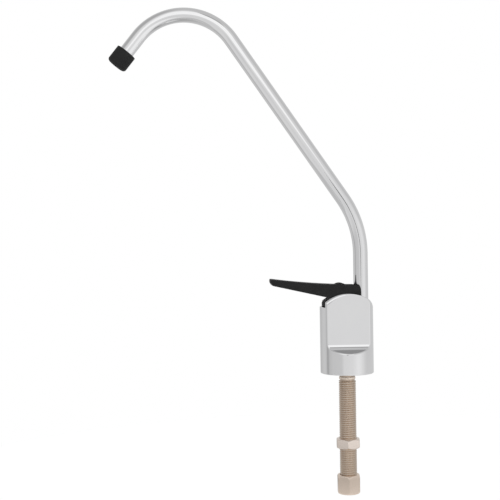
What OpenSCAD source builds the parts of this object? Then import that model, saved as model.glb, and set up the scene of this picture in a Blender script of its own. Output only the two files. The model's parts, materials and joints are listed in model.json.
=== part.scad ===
// Drinking water filter tap for a sink, sizes in millimetres.
// Origin at the centre of the body's underside, on the sink's surface.
// Z points up, the spout and the lever point to -Y.

/* [Body] */
// Diameter of the round base
base_d = 34.6; // [34:0.2:36]
// Distance between the two flat sides
flat_gap = 20.6; // [20.4:0.2:22]
// Height of the arched cheeks above the sink
body_h = 51.5; // [51.2:0.1:52.2]
// Radius of the arch of the cheeks
arch_r = 24.2; // [23:0.2:26]
// Height of the round base below the flats
ledge_h = 13.3; // [12:0.1:15]

/* [Lever] */
// Distance of the lever's tip in front of the body's axis
lever_reach = 50; // [46:0.2:56]
// Width of the lever
lever_w = 16.6; // [16.2:0.1:16.8]
// Angle through which the lever lifts
lever_travel = 75; // [60:1:75]

/* [Spout] */
// Outer diameter of the spout tube
spout_d = 9.525; // [9.4:0.025:9.6]
// Lean of the spout's long straight run
spout_lean = 34.4; // [30:0.2:38]
// Length of the spout's long straight run
spout_run = 125.4; // [100:0.1:140]
// Height at which the spout starts to bend
spout_bend_z = 77.4; // [74:0.2:90]
// Turn of the spout over its top
spout_turn = 107; // [95:1:115]

/* [Shank] */
// Outer diameter of the shank's thread
shank_d = 11.11; // [10.9:0.01:11.2]
// Length of the shank below the sink's surface
shank_len = 69.5; // [62:0.5:80]
// Height of the lock nut
lock_nut_h = 6.3; // [5.5:0.1:9]
// Distance across the flats of the lock nut
lock_nut_af = 14.8; // [14.4:0.1:17]
// Distance across the flats of the compression nut
inlet_nut_af = 14.2; // [13.8:0.1:16]

/* [Hidden] */
$fn = 72;
eps = 0.05;
far = 60;

// Colours
chrome = [0.82, 0.83, 0.85];
nickel = [0.72, 0.68, 0.62];
black = [0.12, 0.12, 0.13];
rubber = [0.2, 0.2, 0.2];
brass = [0.78, 0.65, 0.36];
steel = [0.6, 0.6, 0.62];

// Clearances
seat_gap = 0.04;
run_gap = 0.05;
side_gap = 0.4;
face_gap = 0.1;
heel_gap = 0.2;

// Body
base_r = base_d / 2;
flat_half = flat_gap / 2;
arch_y = 0.8;
arch_z = body_h - arch_r;
// The cove ends a hair outside the flat and still slopes a little at the rim of the round base
cove_r = base_r + 1.4 - flat_half;
cove_x = flat_half + cove_r + 0.02;
cove_z = ledge_h + cove_r;
slot_half = lever_w / 2 + side_gap;
slot_floor = 33.5;
slot_front_r = base_r - 1.3;

// Valve: stem axis, pin and lift
stem_y = -5.5;
pin_z = body_h - 2.7;
pin_r = 1.25;
pin_len = lever_w - 0.6;
heel_r = 5;
stem_lift = 2;
heel_step = stem_lift / 75;
heel_lead = heel_step * 180 / PI;
stem_r = 1.6;
bonnet_top = pin_z - heel_r - heel_gap;
lip_z = bonnet_top - 0.35;
chamber_r = 4.8;
chamber_z = 14;
seat_z = 11.2;
seat_r = 4.35;
feed_z = 9;
feed_r = 1.7;
port_r = 1.9;
washer_z = chamber_z + 0.6;
foot_top = chamber_z + 4.5;
bonnet_low = 28;
hex_low = slot_floor + face_gap;
hex_top = hex_low + 3.8;

// Spout
spout_y = 9.75;
spout_r = spout_d / 2;
spout_bore_r = spout_r - 0.81;
socket_r = spout_r + 0.08;
socket_z = 11;
passage_z = 16;
spigot_z = 19;
spout_foot_z = 29;
spout_low_r = 64.4;
spout_top_r = 37.4;
tip_start = 12.2;
tip_len = 11.5;
tube_in_tip = 7;
tip_r = 6.8;
seam_half = 0.3;
seam_rise = 0.015;
ring_wire = 0.53;
groove_h = 1.3;

// Shank and nuts
shank_r = shank_d / 2;
neck_r = shank_r - 0.2;
neck_len = 5;
shank_top = 6;
shank_socket_z = 7;
shank_bore_r = 2.6;
inlet_r = 3.25;
inlet_depth = 8;
lock_nut_top = -42.9;
inlet_nut_top = -shank_len + 3;
inlet_nut_h = 12.35;
nut_turn_lock = -5;
nut_turn_inlet = -3;

// Base seal
base_seal_in = 11;
base_seal_out = 14.4;
base_seal_h = 1.5;

// Slot's rear end lies behind the path of the lever's fork
fork_y = 8.9;
fork_low_z = body_h - 4.2;
fork_shoulder_z = body_h + 1.6;
fork_sweep = norm([fork_y - 0.45 - stem_y, fork_shoulder_z + 1.7 - pin_z]);
slot_rear = stem_y + fork_sweep + 0.7;

// Lever
lever_wall = 1.5;
lever_plate = 1.8;
lever_low_z = lip_z - 0.3;
lever_front_r = slot_front_r - 0.5;
lever_half = lever_w / 2;
lever_inner = lever_half - lever_wall;
fork_half = spout_r + 0.5;
plate_end_y = -0.3;
notch_y = -11.6;
notch_z = body_h - 2.35;
tip_low_z = body_h + 5.9;
tip_corner = 3.5;
rib_in = 2.3;
rib_out = 4.4;
tongue_half = 2;
bump_y = -4.3;
bump_r = 5.8;
bump_rise = 1.15;
bump_half = 4;

// Height of the lever's top, which rises in a long curve to the tip
function lever_top(y) = body_h + 5.7 + pow(y - 15, 2) / 900;

// Height of the lever's lower edge in front of the notch
function lever_under(y) = notch_z + (notch_y - y) * (tip_low_z - notch_z) / (lever_reach - 2.4 + notch_y);

// Outline of the heel, at distance heel_r + heel_step * turn from the pin
function heel_point(turn) =
    let (reach = heel_r + heel_step * turn)
    [
        stem_y + reach * sin(turn) + heel_lead * cos(turn),
        pin_z - reach * cos(turn) + heel_lead * sin(turn)
    ];

// Places the drawing plane upright: first axis to Y, second axis to Z, depth along X
module upright(width) {
    rotate([90, 0, 90])
        linear_extrude(width, center = true)
            children();
}

module tube_section(outer, inner) {
    difference() {
        circle(r = outer);
        circle(r = inner);
    }
}

module ring(outer, inner, low, high) {
    translate([0, 0, low])
        linear_extrude(high - low)
            tube_section(outer, inner);
}

module o_ring(mean, wire, z) {
    translate([0, 0, z])
        rotate_extrude()
            translate([mean, 0])
                circle(r = wire, $fn = 24);
}

module bolt_hex(af, low, high, bevel) {
    corner = af / sqrt(3);
    intersection() {
        translate([0, 0, low])
            cylinder(h = high - low, r = corner, $fn = 6);
        rotate_extrude()
            polygon([
                [0, low],
                [af / 2, low],
                [corner + 0.02, low + bevel],
                [corner + 0.02, high - bevel],
                [af / 2, high],
                [0, high]
            ]);
    }
}

// Body

module side_cut() {
    translate([flat_half, -far, cove_z])
        cube([far, 2 * far, far]);
    translate([cove_x, 0, cove_z])
        rotate([90, 0, 0])
            cylinder(h = 3 * base_d, r = cove_r, center = true);
}

module body_blank() {
    intersection() {
        cylinder(h = far, r = base_r, $fn = 120);
        upright(3 * base_d)
            union() {
                translate([arch_y, arch_z])
                    circle(r = arch_r, $fn = 180);
                translate([-far, 0])
                    square([2 * far, arch_z]);
            }
    }
}

module lever_slot() {
    intersection() {
        translate([-slot_half, -far, slot_floor])
            cube([2 * slot_half, far + slot_rear, far]);
        cylinder(h = 2 * far, r = slot_front_r, $fn = 120);
    }
    translate([-slot_half, -far, lip_z])
        cube([2 * slot_half, far, far]);
}

module water_ways() {
    // Valve chamber, seat and the feed below it
    translate([0, stem_y, chamber_z])
        cylinder(h = far, r = chamber_r);
    translate([0, stem_y, seat_z])
        cylinder(h = 5, r = seat_r);
    translate([0, stem_y, feed_z])
        cylinder(h = 5, r = port_r);
    translate([0, 0, feed_z])
        rotate([90, 0, 0])
            cylinder(h = -stem_y, r = feed_r);
    translate([0, 0, shank_socket_z - 1])
        cylinder(h = feed_z - shank_socket_z + 2.4, r = shank_bore_r);
    // Way over to the spout and the spout's socket
    translate([0, stem_y, passage_z])
        rotate([-90, 0, 0])
            cylinder(h = spout_y - stem_y, r = port_r);
    translate([0, spout_y, socket_z])
        cylinder(h = far, r = socket_r);
    // Socket of the shank
    translate([0, 0, -1])
        cylinder(h = shank_socket_z + 1, r = neck_r + seat_gap);
}

module body() {
    color(chrome)
        difference() {
            body_blank();
            side_cut();
            mirror([1, 0, 0])
                side_cut();
            lever_slot();
            water_ways();
            ring(base_seal_out, base_seal_in, -1, base_seal_h);
        }
}

module base_seal() {
    color(rubber)
        ring(base_seal_out - seat_gap, base_seal_in + seat_gap, 0, base_seal_h - seat_gap);
}

// Shank and nuts

module shank() {
    color(nickel)
        difference() {
            union() {
                translate([0, 0, -neck_len])
                    cylinder(h = neck_len + shank_top, r = neck_r);
                translate([0, 0, -shank_len])
                    cylinder(h = shank_len - neck_len, r = shank_r);
            }
            translate([0, 0, -shank_len])
                cylinder(h = 2 * shank_len, r = shank_bore_r);
            translate([0, 0, -shank_len - 1])
                cylinder(h = inlet_depth + 1, r = inlet_r);
        }
}

module shank_seal() {
    color(rubber)
        ring(neck_r - 0.1, shank_bore_r + 0.6, shank_top + seat_gap, shank_socket_z - seat_gap);
}

module lock_nut() {
    color(nickel)
        rotate([0, 0, nut_turn_lock])
            difference() {
                bolt_hex(lock_nut_af, lock_nut_top - lock_nut_h, lock_nut_top, 0.9);
                translate([0, 0, lock_nut_top - far / 2])
                    cylinder(h = far, r = shank_r + run_gap);
            }
}

module compression_nut() {
    low = inlet_nut_top - inlet_nut_h;
    color(nickel)
        rotate([0, 0, nut_turn_inlet])
            difference() {
                bolt_hex(inlet_nut_af, low, inlet_nut_top, 1.2);
                rotate_extrude()
                    polygon([
                        [0, low - 1],
                        [inlet_r, low - 1],
                        [inlet_r, low + 3.5],
                        [3.9, low + 3.5],
                        [5.1, low + 7.7],
                        [shank_r + run_gap, low + 7.7],
                        [shank_r + run_gap, inlet_nut_top + 1],
                        [0, inlet_nut_top + 1]
                    ]);
            }
}

module ferrule() {
    high = -shank_len - 0.3;
    color(brass)
        rotate_extrude()
            polygon([
                [inlet_r, high],
                [4.7, high],
                [4.7, high - 1.75],
                [3.7, high - 5.15],
                [inlet_r, high - 5.15]
            ]);
}

// Valve

module valve_seat() {
    color(brass)
        translate([0, stem_y, 0]) {
            ring(seat_r - seat_gap, port_r, seat_z + seat_gap, chamber_z);
            ring(port_r + 0.7, port_r, chamber_z, chamber_z + 0.5);
        }
}

module valve_stem() {
    color(brass)
        translate([0, stem_y, 0])
            difference() {
                union() {
                    translate([0, 0, foot_top - eps])
                        cylinder(h = bonnet_top + 1 - foot_top, r = stem_r);
                    translate([0, 0, washer_z + 0.8])
                        cylinder(h = foot_top - washer_z - 0.8, r = 3.6);
                    translate([-tongue_half, -2.4, bonnet_top + 0.4])
                        cube([2 * tongue_half, 4.8, pin_z - bonnet_top + 2]);
                }
                translate([0, 0, washer_z])
                    cylinder(h = 2.2 + seat_gap, r = 3.05);
                translate([0, 0, washer_z])
                    cylinder(h = 3.6, r = 0.95);
                translate([0, 0, pin_z])
                    rotate([0, 90, 0])
                        cylinder(h = far, r = pin_r + 0.02, center = true);
            }
}

module seat_washer() {
    color(rubber)
        translate([0, stem_y, 0])
            ring(3.0, 0.95, washer_z, washer_z + 2.2);
}

module washer_screw() {
    color(steel)
        translate([0, stem_y, 0]) {
            translate([0, 0, washer_z - 0.9])
                cylinder(h = 0.85, r = 1.4);
            translate([0, 0, washer_z - 0.1])
                cylinder(h = 3.6, r = 0.9);
        }
}

// One unbroken wire, whose middle line climbs from low to high
coil_r = 2.9;
coil_wire = 0.8;
coil_turns = 5;
coil_low = foot_top + coil_wire / 2 + face_gap;
coil_high = bonnet_low - coil_wire / 2 - face_gap;
coil_rings = 8;
coil_sides = 6;
coil_count = coil_turns * coil_rings;

function coil_mid(i) = [
    coil_r * cos(360 * i / coil_rings),
    coil_r * sin(360 * i / coil_rings),
    coil_low + (coil_high - coil_low) * i / coil_count
];

function coil_ring(i) = [
    for (k = [0 : coil_sides - 1])
        let (a = 360 * k / coil_sides)
        coil_mid(i) + coil_wire / 2 * [
            cos(a) * cos(360 * i / coil_rings),
            cos(a) * sin(360 * i / coil_rings),
            sin(a)
        ]
];

coil_gap = min([
    for (i = [0 : coil_count - coil_rings])
        for (k = [coil_rings - 2 : coil_rings + 2])
            if (i + k <= coil_count)
                norm(coil_mid(i + k) - coil_mid(i)) - coil_wire
]);
echo(least_coil_gap = coil_gap);

module return_spring() {
    points = [for (i = [0 : coil_count]) each coil_ring(i)];
    walls = [
        for (i = [0 : coil_count - 1])
            for (k = [0 : coil_sides - 1])
                let (n = (k + 1) % coil_sides)
                [
                    i * coil_sides + k,
                    (i + 1) * coil_sides + k,
                    (i + 1) * coil_sides + n,
                    i * coil_sides + n
                ]
    ];
    first = [for (k = [0 : coil_sides - 1]) k];
    last = [for (k = [coil_sides - 1 : -1 : 0]) coil_count * coil_sides + k];
    color(steel)
        translate([0, stem_y, 0])
            polyhedron(points, concat(walls, [first, last]));
}

module bonnet() {
    color(brass)
        translate([0, stem_y, 0])
            difference() {
                union() {
                    translate([0, 0, bonnet_low])
                        cylinder(h = slot_floor - bonnet_low + 1, r = chamber_r - seat_gap);
                    bolt_hex(9.4, hex_low, hex_top, 0.3);
                    translate([0, 0, hex_low + 1])
                        cylinder(h = bonnet_top - hex_low - 1, r = rib_out + 0.2);
                }
                translate([0, 0, bonnet_low - 1])
                    cylinder(h = far, r = stem_r + run_gap);
                // Outer groove of the bonnet seal, inner groove of the stem seal
                ring(chamber_r + 1, 3.7, bonnet_low + 1, bonnet_low + 1 + groove_h);
                translate([0, 0, bonnet_low + 3.3])
                    cylinder(h = groove_h, r = 2.8);
            }
}

module bonnet_seal() {
    color(rubber)
        translate([0, stem_y, 0])
            o_ring(chamber_r - 0.02 - ring_wire, ring_wire, bonnet_low + 1 + groove_h / 2);
}

module stem_seal() {
    color(rubber)
        translate([0, stem_y, 0])
            o_ring(stem_r + 0.08 + ring_wire, ring_wire, bonnet_low + 3.3 + groove_h / 2);
}

module pivot_pin() {
    color(steel)
        translate([0, stem_y, pin_z])
            rotate([0, 90, 0])
                cylinder(h = pin_len, r = pin_r, center = true);
}

// Lever

tip_y = -lever_reach;
top_steps = [for (i = [0 : 9]) 4 + (tip_y + 2.2 - 4) * i / 9];

module lever_outline() {
    polygon(concat(
        [
            [fork_y, fork_low_z],
            [fork_y, fork_shoulder_z],
            [fork_y - 0.45, fork_shoulder_z + 1.7],
            [fork_y - 1.6, fork_shoulder_z + 3.1],
            [fork_y - 3.1, fork_shoulder_z + 3.95]
        ],
        [for (y = top_steps) [y, lever_top(y)]],
        [
            [tip_y + 0.7, lever_top(tip_y) - 0.35],
            [tip_y, lever_top(tip_y) - 1.3],
            [tip_y + 0.3, lever_top(tip_y) - 2.5],
            [tip_y + 1.1, tip_low_z + 0.8],
            [tip_y + 2.4, tip_low_z],
            [notch_y, notch_z],
            [notch_y - 0.1, notch_z - 0.9],
            [-lever_front_r - 0.2, notch_z - 3.3],
            [-lever_front_r - 0.2, lever_low_z],
            [stem_y + 1, lever_low_z]
        ]
    ));
}

module lever_plan() {
    corner = [for (i = [0 : 4]) 90 * i / 4];
    polygon(concat(
        [[lever_half, fork_y + 1], [-lever_half, fork_y + 1]],
        [
            for (a = corner)
                [-lever_half + tip_corner - tip_corner * cos(a), tip_y + tip_corner - tip_corner * sin(a)]
        ],
        [
            for (a = corner)
                [lever_half - tip_corner + tip_corner * sin(a), tip_y + tip_corner - tip_corner * cos(a)]
        ]
    ));
}

// Hollow under the blade, between the side walls
module blade_hollow() {
    front = tip_y + 3;
    back = notch_y - 0.1;
    upright(2 * lever_inner)
        polygon(concat(
            [
                for (i = [0 : 6])
                    let (y = front + (back - front) * i / 6)
                    [y, lever_top(y) - lever_plate]
            ],
            [
                [back, notch_z + 0.1],
                [-lever_front_r - 0.8, lever_under(-lever_front_r - 0.8) - 1],
                [front, lever_under(front) - 1]
            ]
        ));
}

// Hollow of the head, open below and behind
module head_hollow() {
    front = notch_y + 1.4;
    upright(2 * lever_inner)
        polygon([
            [front, lever_top(front) - lever_plate],
            [front, notch_z - 0.8],
            [notch_y - 0.2, notch_z - 2.1],
            [-lever_front_r + lever_wall, notch_z - 3.8],
            [-lever_front_r + lever_wall, lever_low_z - 1],
            [fork_y + 1, lever_low_z - 1],
            [fork_y + 1, lever_top(fork_y) - lever_plate]
        ]);
}

// Two ribs with the heel that rolls on the bonnet
module heel_ribs() {
    turns = [for (i = [0 : 15]) lever_travel * i / 15];
    for (side = [-1, 1])
        translate([side * (rib_in + rib_out) / 2, 0, 0])
            upright(rib_out - rib_in)
                polygon(concat(
                    [
                        [stem_y - 3.5, lever_top(stem_y) - lever_plate / 2],
                        [stem_y - 3.5, pin_z - heel_r]
                    ],
                    [for (t = turns) heel_point(t)],
                    [[plate_end_y, pin_z + 3], [plate_end_y, lever_top(plate_end_y) - lever_plate / 2]]
                ));
}

// Low rounded rise on the lever's top, above the pin
module top_bump() {
    upright(2 * bump_half)
        intersection() {
            translate([bump_y, lever_top(bump_y) + bump_rise - bump_r])
                circle(r = bump_r);
            translate([bump_y - far, lever_top(bump_y) - 0.6])
                square([2 * far, far]);
        }
}

module lever() {
    color(black)
        difference() {
            union() {
                difference() {
                    intersection() {
                        upright(lever_w + 2)
                            lever_outline();
                        linear_extrude(2 * far)
                            lever_plan();
                    }
                    blade_hollow();
                    head_hollow();
                    // The head's front follows the round of the body
                    translate([0, 0, lever_low_z - 1])
                        linear_extrude(notch_z - lever_low_z + 1)
                            difference() {
                                translate([-far, -far])
                                    square([2 * far, far - 8]);
                                circle(r = lever_front_r, $fn = 120);
                            }
                }
                heel_ribs();
                top_bump();
            }
            // Fork for the spout
            translate([-fork_half, plate_end_y, 0])
                cube([2 * fork_half, far, 2 * far]);
            translate([0, stem_y, pin_z])
                rotate([0, 90, 0])
                    cylinder(h = far, r = pin_r + run_gap, center = true);
        }
}

// Spout

module spout_straight(len) {
    linear_extrude(len)
        tube_section(spout_r, spout_bore_r);
}

module spout_bend(radius, turn) {
    translate([0, -radius, 0])
        rotate([90, 0, 90])
            rotate_extrude(angle = turn, $fn = 180)
                translate([radius, 0])
                    tube_section(spout_r, spout_bore_r);
}

// Carries its children past a bend, along the spout's middle line
module past_bend(radius, turn) {
    translate([0, -radius * (1 - cos(turn)), radius * sin(turn)])
        rotate([turn, 0, 0])
            children();
}

module at_top_bend() {
    translate([0, spout_y, spout_bend_z])
        past_bend(spout_low_r, spout_lean)
            translate([0, 0, spout_run])
                children();
}

module at_outlet() {
    at_top_bend()
        past_bend(spout_top_r, spout_turn)
            children();
}

// Hair-thin band that closes the seam between a straight run and a bend
module spout_seam() {
    translate([0, 0, -seam_half])
        linear_extrude(2 * seam_half)
            tube_section(spout_r + seam_rise, spout_bore_r - seam_rise);
}

module spout_tube() {
    color(chrome) {
        translate([0, spout_y, spout_foot_z])
            spout_straight(spout_bend_z - spout_foot_z);
        translate([0, spout_y, spout_bend_z]) {
            spout_seam();
            spout_bend(spout_low_r, spout_lean);
            past_bend(spout_low_r, spout_lean) {
                spout_seam();
                spout_straight(spout_run);
            }
        }
        at_top_bend() {
            spout_seam();
            spout_bend(spout_top_r, spout_turn);
        }
        at_outlet() {
            spout_seam();
            spout_straight(tip_start + tube_in_tip);
        }
    }
}

module spout_tip() {
    end = tip_start + tip_len;
    hold = tip_start + tube_in_tip + 0.2;
    color(black)
        at_outlet()
            rotate_extrude()
                polygon([
                    [spout_r + seat_gap, tip_start],
                    [tip_r - 0.4, tip_start],
                    [tip_r, tip_start + 0.4],
                    [tip_r, end - 3],
                    [tip_r - 0.5, end - 1],
                    [tip_r - 1.4, end],
                    [spout_bore_r, end],
                    [spout_bore_r, hold],
                    [spout_r + seat_gap, hold]
                ]);
}

module spout_spigot() {
    color(brass)
        translate([0, spout_y, 0])
            difference() {
                union() {
                    translate([0, 0, spigot_z])
                        cylinder(h = spout_foot_z - seat_gap - spigot_z, r = spout_r - 0.04);
                    translate([0, 0, spigot_z])
                        cylinder(h = spout_foot_z + 6 - spigot_z, r = spout_bore_r - seat_gap);
                }
                translate([0, 0, spigot_z - 1])
                    cylinder(h = far, r = 2.6);
                ring(spout_r + 1, spout_r - 1, spigot_z + 2, spigot_z + 2 + groove_h);
                ring(spout_r + 1, spout_r - 1, spigot_z + 6.5, spigot_z + 6.5 + groove_h);
            }
}

module spout_seal_lower() {
    color(rubber)
        translate([0, spout_y, 0])
            o_ring(spout_r + 0.06 - ring_wire, ring_wire, spigot_z + 2 + groove_h / 2);
}

module spout_seal_upper() {
    color(rubber)
        translate([0, spout_y, 0])
            o_ring(spout_r + 0.06 - ring_wire, ring_wire, spigot_z + 6.5 + groove_h / 2);
}

body();
base_seal();
shank();
shank_seal();
lock_nut();
compression_nut();
ferrule();
valve_seat();
valve_stem();
seat_washer();
washer_screw();
return_spring();
bonnet();
bonnet_seal();
stem_seal();
pivot_pin();
lever();
spout_tube();
spout_tip();
spout_spigot();
spout_seal_lower();
spout_seal_upper();
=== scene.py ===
"""Drinking water filter tap: looks of the pieces, light and camera."""
import itertools
import json
import math

import bpy
import numpy as np
from mathutils import Matrix, Vector


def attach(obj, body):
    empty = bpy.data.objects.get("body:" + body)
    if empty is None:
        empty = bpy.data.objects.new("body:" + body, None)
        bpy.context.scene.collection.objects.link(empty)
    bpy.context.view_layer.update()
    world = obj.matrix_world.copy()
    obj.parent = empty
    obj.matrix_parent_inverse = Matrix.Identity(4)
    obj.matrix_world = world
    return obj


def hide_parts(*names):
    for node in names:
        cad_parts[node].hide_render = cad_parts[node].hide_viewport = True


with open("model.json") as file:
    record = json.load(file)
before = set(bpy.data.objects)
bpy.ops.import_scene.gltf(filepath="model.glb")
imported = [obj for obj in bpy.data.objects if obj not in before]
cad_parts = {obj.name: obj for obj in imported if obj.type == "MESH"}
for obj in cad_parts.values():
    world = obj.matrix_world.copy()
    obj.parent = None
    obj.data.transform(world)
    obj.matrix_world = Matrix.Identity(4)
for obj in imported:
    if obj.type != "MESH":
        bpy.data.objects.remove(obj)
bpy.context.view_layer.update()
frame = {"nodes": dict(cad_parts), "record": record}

scene = bpy.context.scene
nodes = frame["nodes"]

# Sizes are in millimetres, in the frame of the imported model
MM = 0.001

# Body
BASE_R = 17.3
BODY_TOP = 51.7
BODY_GRID = 0.32
FLAT_HALF = 10.3
ARCH_R = 24.55
ARCH_Y = 0.55
ARCH_Z = 27.3
ARCH_FRONT_SWELL = 0.8
LEDGE_Z = 13.7
LEDGE_SLOPE = 0.5
COVE_R = 2.6
SLOT_HALF = 8.7
SLOT_FLOOR = 33.5
SLOT_REAR = 10.38
SLOT_FRONT_R = 16.0
LIP_Z = 43.25

# Radii of the body's edges
TOP_EDGE_FRONT = 0.7
TOP_EDGE_BACK = 2.2
FLAT_EDGE_HIGH = 0.4
FLAT_EDGE_LOW = 0.6
CHEEK_EDGE_BACK = 0.6
CHEEK_EDGE_FRONT = 3.2
FOOT_EDGE = 0.45
SLOT_EDGE = 0.35
SOCKET_EDGE = 0.25

# Stretches of -y, y and -z over which those radii change, and the arch swells
FRONT_ZONE = (-6.0, 13.0)
BACK_ZONE = (-6.0, 9.0)
LEDGE_ZONE = (-20.0, -15.0)

# Valve and water channels in the body
STEM_Y = -5.5
CHAMBER_R = 4.8
CHAMBER_FLOOR = 14.0
SEAT_R = 4.35
SEAT_FLOOR = 11.2
SEAT_TOP = 16.2
PORT_R = 1.9
INFLOW_R = 1.7
INFLOW_Z = 9.0
OUTFLOW_R = 1.9
OUTFLOW_Z = 16.0
RISER_LOW = 6.0
RISER_TOP = 10.4
SHANK_SOCKET_R = 5.395
SHANK_SOCKET_TOP = 7.0
SEAL_GROOVE_R = 12.7
SEAL_GROOVE_HALF = 1.7
SEAL_GROOVE_TOP = 1.5

# Lever
PIN_Z = 48.8
PIN_BORE_R = 1.3
BLADE_END = -50.0
BLADE_END_LOW_Z = 57.4
BLADE_END_SETBACK = 2.4
BLADE_HOLLOW_START = -16.0
BLADE_HOLLOW_END = BLADE_END + 3.0
BLADE_CORNER = 3.5
CREST_Y = 15.0
CREST_Z = 57.2
CREST_SWEEP = 900.0
NOTCH_Y = -11.6
NOTCH_Z = 49.15
LEVER_HALF = 8.3
LEVER_INNER = 6.8
LEVER_FRONT_R = 15.5
LEVER_NOSE = -LEVER_FRONT_R - 0.6
LEVER_LOW_Z = 42.95
LEVER_TOP_Z = 62.0
LEVER_GRID = 0.28
LIP_OVERHANG = 0.45
LIP_RISE = 0.6
HEAD_BACK_Y = -8.0
HEAD_INNER_Y = -14.0
PLATE = 1.8
PLATE_END = -0.3
FORK_Y = 8.9
FORK_HALF = 5.2625
FORK_LOW_Z = 47.3
LEVER_TRAVEL = math.radians(75.0)
STEM_LIFT = 2.0
HEEL_R = 5.0
HEEL_FRONT = 3.5
RIB_X = 3.35
RIB_HALF = 1.05
BUMP_Y = -4.3
BUMP_R = 5.8
BUMP_HALF = 4.0
BUMP_RISE = 1.15
BUMP_DEPTH = 1.55
LEVER_EDGE = 0.55
NOSE_EDGE = 0.2
HOLLOW_CORNER = 0.4
HOLLOW_EDGE = 0.25
BUMP_EDGE = 0.3
FORK_EDGE = 0.3

# Spout and its socket in the body
SPOUT_Y = 9.75
SPOUT_R = 4.7625
SPOUT_BORE_R = 3.9525
SPOUT_FOOT_Z = 29.0
SPOUT_LEAN = math.radians(34.4)
SPOUT_TURN = math.radians(107.0)
LOW_BEND_Z = 77.4
LOW_BEND_R = 64.4
SPOUT_RUN = 125.4
TOP_BEND_R = 37.4
OUTLET_RUN = 19.2
OUTLET_STEPS = 5
SOCKET_GAP = 0.08
SOCKET_FLOOR = 11.0

# Tip of the spout, with places along the outlet
TIP_START = 12.2
TIP_END = 23.7
TIP_R = 6.8
TIP_DOME_R = 4.4
TIP_DOME_H = 2.0
TIP_SLEEVE = 7.2
TIP_GAP = 0.04
TIP_REAR_EDGE = 0.45
TIP_BORE_EDGE = 0.35

# Shank
SHANK_R = 5.555
SHANK_END = -69.5
SHANK_TOP = 6.0
SHANK_BORE_R = 2.6
SHANK_NECK_R = 5.355
TUBE_BORE_R = 3.25
TUBE_BORE_DEPTH = 8.0
THREAD_TOP = -5.35
THREAD_PITCH = 1.41
THREAD_DEPTH = 0.5
RINGS_PER_PITCH = 12
THREAD_FLANK = (0.32, 0.97)
THREAD_LEAD = 0.8
THREAD_RUNOUT = 0.5
THREAD_END_BEVEL = 0.35
THREAD_END_BEVEL_H = 0.5
GROOVE_R = 4.55
COLLAR_R = 4.5
BEAD_Z = -3.4
BEAD_FLANK = [(1.05, 5.0), (0.8, 5.2), (0.4, 5.32)]

# Nuts
NUT_GRID = 0.22
NUT_FLAT_EDGE = 0.35
NUT_FACE_EDGE = 0.15
NUT_BEVEL_EDGE = 0.2
NUT_BEVEL_START = 0.25
NUT_GAP = 0.05
LOCK_ACROSS = 14.8
LOCK_LOW = -49.2
LOCK_HIGH = -42.9
LOCK_BEVEL = 0.9
LOCK_TURN = -5
LOCK_REACH = 8.6
LOCK_THREAD_DEPTH = 0.3
LOCK_THREAD_LEAD = 0.6
LOCK_THREAD_FLANK = (0.2, 0.9)
INLET_ACROSS = 14.2
INLET_LOW = -78.85
INLET_HIGH = -66.5
INLET_BEVEL = 1.2
INLET_TURN = -3
INLET_REACH = 8.3
INLET_CONE_LOW = 3.5
INLET_CONE_RISE = 4.2
INLET_CONE_R = 3.9
INLET_CONE_GROWTH = 1.2

# Grid of a distance field: margins in steps, and how far apart its slope is measured
GRID_BEFORE = 1.37
GRID_AFTER = 2.6
SLOPE_STEP = 0.01
NORMAL_STEP = 0.04

# Newton's moves onto the surface, the longest of them in grid steps
NEWTON_MOVES = 5
LONGEST_MOVE = 0.4
LEAST_SLOPE = 0.2
TINY = 1e-9

# Points round each turned piece
ROUND = 96
TURN = np.arange(ROUND) * 2 * math.pi / ROUND


# Meshes


def smoothstep(value, low, high):
    """Rises smoothly from 0 where the value is low to 1 where it is high."""
    t = np.clip((value - low) / (high - low), 0.0, 1.0)
    return t * t * (3.0 - 2.0 * t)


def make_object(name, points, faces, normals=None, smooth=True):
    """A mesh object from points in millimetres and an array of faces of equal length."""
    mesh = bpy.data.meshes.new(name)
    points = np.asarray(points, dtype=np.float64) * MM
    faces = np.asarray(faces, dtype=np.int32)
    count, size = faces.shape
    mesh.vertices.add(len(points))
    mesh.vertices.foreach_set("co", points.ravel())
    mesh.loops.add(count * size)
    mesh.loops.foreach_set("vertex_index", faces.ravel())
    mesh.polygons.add(count)
    mesh.polygons.foreach_set("loop_start", np.arange(0, count * size, size, dtype=np.int32))
    mesh.polygons.foreach_set("loop_total", np.full(count, size, dtype=np.int32))
    mesh.polygons.foreach_set("use_smooth", np.full(count, smooth))
    mesh.update(calc_edges=True)
    mesh.validate()
    if normals is not None:
        mesh.normals_split_custom_set_from_vertices(np.asarray(normals, dtype=np.float64).tolist())
    obj = bpy.data.objects.new(name, mesh)
    scene.collection.objects.link(obj)
    return obj


def slope(field, points, step):
    """Gradient of a distance field at points."""
    out = np.empty_like(points)
    for axis in range(3):
        shift = np.zeros(3)
        shift[axis] = step
        out[:, axis] = (field(*(points + shift).T) - field(*(points - shift).T)) / (2 * step)
    return out


def cell_points(value, cells, units):
    """The mean of the surface's crossings of each cell's edges, in grid steps."""
    total = np.zeros((len(cells), 3))
    count = np.zeros(len(cells))
    for axis in range(3):
        u, v = units[(axis + 1) % 3], units[(axis + 2) % 3]
        for a, b in itertools.product((0, 1), repeat=2):
            first = cells + a * u + b * v
            second = first + units[axis]
            f0 = value[tuple(first.T)]
            f1 = value[tuple(second.T)]
            cross = (f0 < 0) != (f1 < 0)
            t = f0[cross] / (f0[cross] - f1[cross])
            total[cross] += first[cross] + t[:, None] * units[axis]
            count[cross] += 1
    return total / count[:, None]


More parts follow.
